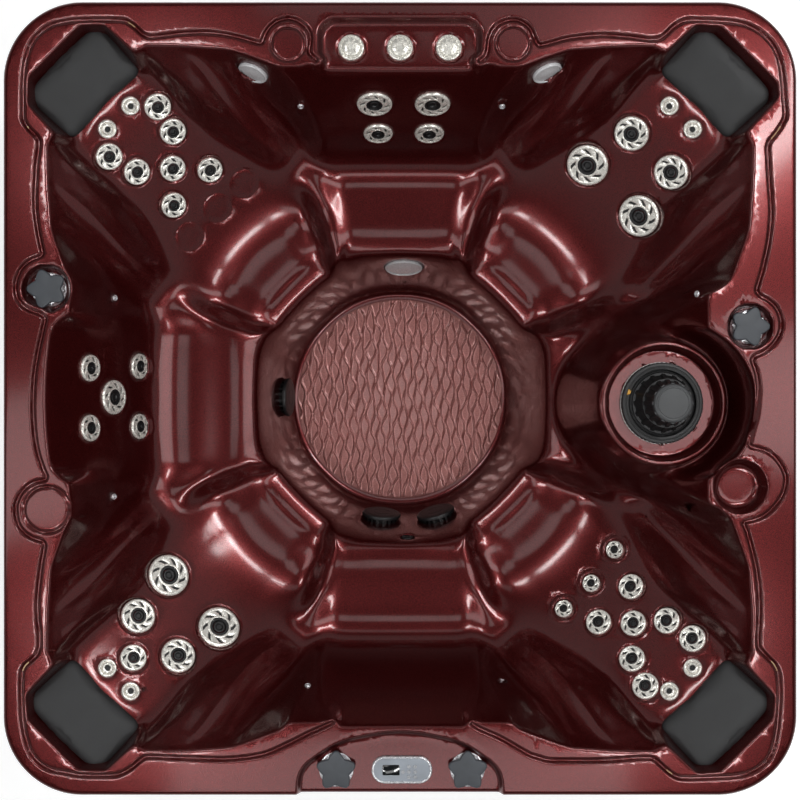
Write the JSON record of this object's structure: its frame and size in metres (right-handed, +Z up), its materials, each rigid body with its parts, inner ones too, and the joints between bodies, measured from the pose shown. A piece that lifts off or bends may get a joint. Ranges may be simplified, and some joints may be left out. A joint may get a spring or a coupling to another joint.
{
  "type": "hot tub",
  "caption": "Square acrylic hot tub with contoured corner seats, benches, a textured footwell, massage jets, headrest pillows, control knobs, a lift-out filter basket and a panelled cabinet.",
  "frame": {"origin": "centre of the footprint, on the floor under the base pan", "axes": "+Z up; +Y towards the back shelf; -Y towards the control console; +X towards the filter"},
  "size_m": [2.134, 2.134, 0.914],
  "materials": {
    "acrylic_red": "deep metallic red acrylic, polished",
    "pillow_foam": "soft charcoal moulded foam skin",
    "jet_chrome": "polished trim",
    "knob_slate": "satin slate grey",
    "key_grey": "satin",
    "bezel_silver": "satin silver",
    "panel_face": "smooth dark overlay",
    "pipe_white": "moulded white",
    "black_plastic": "moulded black",
    "filter_fabric": "pleated fibre",
    "cap_grey": "moulded dark grey",
    "base_black": "moulded black",
    "cabinet_grey": "embossed dark grey boards",
    "timber": "sawn softwood",
    "steel": "brushed",
    "lens_white": "frosted lens",
    "motor_paint": "black enamel"
  },
  "bodies": {
    "tub": {"back_panel": "cabinet_grey", "base_pan": "base_black", "cascade_jets": "jet_chrome", "cluster_jet_bezels": "jet_chrome", "control_bezel": "bezel_silver", "control_face": "panel_face", "control_pack": "base_black", "corner_columns": "cabinet_grey", "drain_grille": "black_plastic", "drain_spigot": "black_plastic", "filter_canister": "pipe_white", "filter_cartridge": "filter_fabric", "filter_collar": "black_plastic", "footwell_light": "lens_white", "footwell_support": "timber", "front_panel": "cabinet_grey", "heater": "steel", "jet_bodies": "pipe_white", "jet_nozzles": "black_plastic", "left_panel": "cabinet_grey", "neck_jets": "jet_chrome", "panel_screws": "steel", "pillow_back_left": "pillow_foam", "pillow_back_right": "pillow_foam", "pillow_front_left": "pillow_foam", "pillow_front_right": "pillow_foam", "point_lights": "lens_white", "pump_motors": "motor_paint", "pump_wet_ends": "black_plastic", "right_panel": "cabinet_grey", "suction_covers": "black_plastic", "timber_frame": "timber", "tub_shell": "acrylic_red", "valve_bodies": "pipe_white", "wall_lights": "lens_white", "water_pipes": "pipe_white"},
    "jet_back_right_1": {"jet_face_back_right_1": "jet_chrome"},
    "jet_back_right_2": {"jet_face_back_right_2": "jet_chrome"},
    "jet_back_right_3": {"jet_face_back_right_3": "jet_chrome"},
    "jet_back_right_4": {"jet_face_back_right_4": "jet_chrome"},
    "jet_front_left_1": {"jet_face_front_left_1": "jet_chrome"},
    "jet_front_left_2": {"jet_face_front_left_2": "jet_chrome"},
    "jet_front_left_3": {"jet_face_front_left_3": "jet_chrome"},
    "jet_front_left_4": {"jet_face_front_left_4": "jet_chrome"},
    "jet_back_wall_1": {"jet_face_back_wall_1": "jet_chrome"},
    "jet_back_wall_2": {"jet_face_back_wall_2": "jet_chrome"},
    "jet_left_wall": {"jet_face_left_wall": "jet_chrome"},
    "diverter_knob_left_turning": {"diverter_knob_left": "knob_slate"},
    "diverter_knob_right_turning": {"diverter_knob_right": "knob_slate"},
    "air_knob_left_turning": {"air_knob_left": "knob_slate"},
    "air_knob_right_turning": {"air_knob_right": "knob_slate"},
    "control_key_1_pressed": {"control_key_1": "key_grey"},
    "control_key_2_pressed": {"control_key_2": "key_grey"},
    "control_key_3_pressed": {"control_key_3": "key_grey"},
    "control_key_4_pressed": {"control_key_4": "key_grey"},
    "control_key_5_pressed": {"control_key_5": "key_grey"},
    "control_key_6_pressed": {"control_key_6": "key_grey"},
    "control_key_7_pressed": {"control_key_7": "key_grey"},
    "basket": {"filter_basket": "black_plastic", "filter_cap": "cap_grey"}
  },
  "joints": [
    {"name": "jet_back_right_1_turn", "type": "hinge", "parent": "tub", "child": "jet_back_right_1", "pos_m": [0.66681, 0.76322, 0.69165], "axis": [-0.3988, -0.4773, 0.783], "range_deg": [0, 90]},
    {"name": "jet_back_right_2_turn", "type": "hinge", "parent": "tub", "child": "jet_back_right_2", "pos_m": [0.55641, 0.69258, 0.59332], "axis": [-0.3687, -0.5009, 0.783], "range_deg": [0, 90]},
    {"name": "jet_back_right_3_turn", "type": "hinge", "parent": "tub", "child": "jet_back_right_3", "pos_m": [0.78022, 0.65121, 0.69434], "axis": [-0.489, -0.3844, 0.783], "range_deg": [0, 90]},
    {"name": "jet_back_right_4_turn", "type": "hinge", "parent": "tub", "child": "jet_back_right_4", "pos_m": [0.70888, 0.54151, 0.59702], "axis": [-0.513, -0.3517, 0.783], "range_deg": [0, 90]},
    {"name": "jet_front_left_1_turn", "type": "hinge", "parent": "tub", "child": "jet_front_left_1", "pos_m": [-0.68979, -0.52666, 0.57784], "axis": [0.5139, 0.3505, 0.783], "range_deg": [0, 90]},
    {"name": "jet_front_left_2_turn", "type": "hinge", "parent": "tub", "child": "jet_front_left_2", "pos_m": [-0.53943, -0.68127, 0.57812], "axis": [0.3631, 0.5051, 0.783], "range_deg": [0, 90]},
    {"name": "jet_front_left_3_turn", "type": "hinge", "parent": "tub", "child": "jet_front_left_3", "pos_m": [-0.75901, -0.62999, 0.67068], "axis": [0.4908, 0.3821, 0.783], "range_deg": [0, 90]},
    {"name": "jet_front_left_4_turn", "type": "hinge", "parent": "tub", "child": "jet_front_left_4", "pos_m": [-0.64347, -0.74555, 0.66901], "axis": [0.3945, 0.4809, 0.783], "range_deg": [0, 90]},
    {"name": "jet_back_wall_1_turn", "type": "hinge", "parent": "tub", "child": "jet_back_wall_1", "pos_m": [-0.07199, 0.83276, 0.7526], "axis": [-0.0022, -0.9217, 0.3879], "range_deg": [0, 90]},
    {"name": "jet_back_wall_2_turn", "type": "hinge", "parent": "tub", "child": "jet_back_wall_2", "pos_m": [0.09199, 0.83276, 0.75247], "axis": [0.0028, -0.9215, 0.3883], "range_deg": [0, 90]},
    {"name": "jet_left_wall_turn", "type": "hinge", "parent": "tub", "child": "jet_left_wall", "pos_m": [-0.83269, 0.00401, 0.66091], "axis": [0.898, -0.0017, 0.44], "range_deg": [0, 90]},
    {"name": "diverter_knob_left_turn", "type": "hinge", "parent": "tub", "child": "diverter_knob_left_turning", "pos_m": [-0.95, 0.295, 0.876], "axis": [0, 0, 1], "range_deg": [-90, 90]},
    {"name": "diverter_knob_right_turn", "type": "hinge", "parent": "tub", "child": "diverter_knob_right_turning", "pos_m": [0.941, 0.194, 0.876], "axis": [0, 0, 1], "range_deg": [-90, 90]},
    {"name": "air_knob_left_turn", "type": "hinge", "parent": "tub", "child": "air_knob_left_turning", "pos_m": [-0.172, -1.001, 0.892], "axis": [0, 0, 1], "range_deg": [0, 120]},
    {"name": "air_knob_right_turn", "type": "hinge", "parent": "tub", "child": "air_knob_right_turning", "pos_m": [0.182, -1.001, 0.892], "axis": [0, 0, 1], "range_deg": [0, 120]},
    {"name": "control_key_1_press", "type": "slide", "parent": "tub", "child": "control_key_1_pressed", "axis": [0, 0, -1], "range_m": [0, 0.001], "stiffness_N_per_m": 900},
    {"name": "control_key_2_press", "type": "slide", "parent": "tub", "child": "control_key_2_pressed", "axis": [0, 0, -1], "range_m": [0, 0.001], "stiffness_N_per_m": 900},
    {"name": "control_key_3_press", "type": "slide", "parent": "tub", "child": "control_key_3_pressed", "axis": [0, 0, -1], "range_m": [0, 0.001], "stiffness_N_per_m": 900},
    {"name": "control_key_4_press", "type": "slide", "parent": "tub", "child": "control_key_4_pressed", "axis": [0, 0, -1], "range_m": [0, 0.001], "stiffness_N_per_m": 900},
    {"name": "control_key_5_press", "type": "slide", "parent": "tub", "child": "control_key_5_pressed", "axis": [0, 0, -1], "range_m": [0, 0.001], "stiffness_N_per_m": 900},
    {"name": "control_key_6_press", "type": "slide", "parent": "tub", "child": "control_key_6_pressed", "axis": [0, 0, -1], "range_m": [0, 0.001], "stiffness_N_per_m": 900},
    {"name": "control_key_7_press", "type": "slide", "parent": "tub", "child": "control_key_7_pressed", "axis": [0, 0, -1], "range_m": [0, 0.001], "stiffness_N_per_m": 900},
    {"name": "basket_lift", "type": "slide", "parent": "tub", "child": "basket", "axis": [0, 0, 1], "range_m": [0, 0.25]}
  ]
}
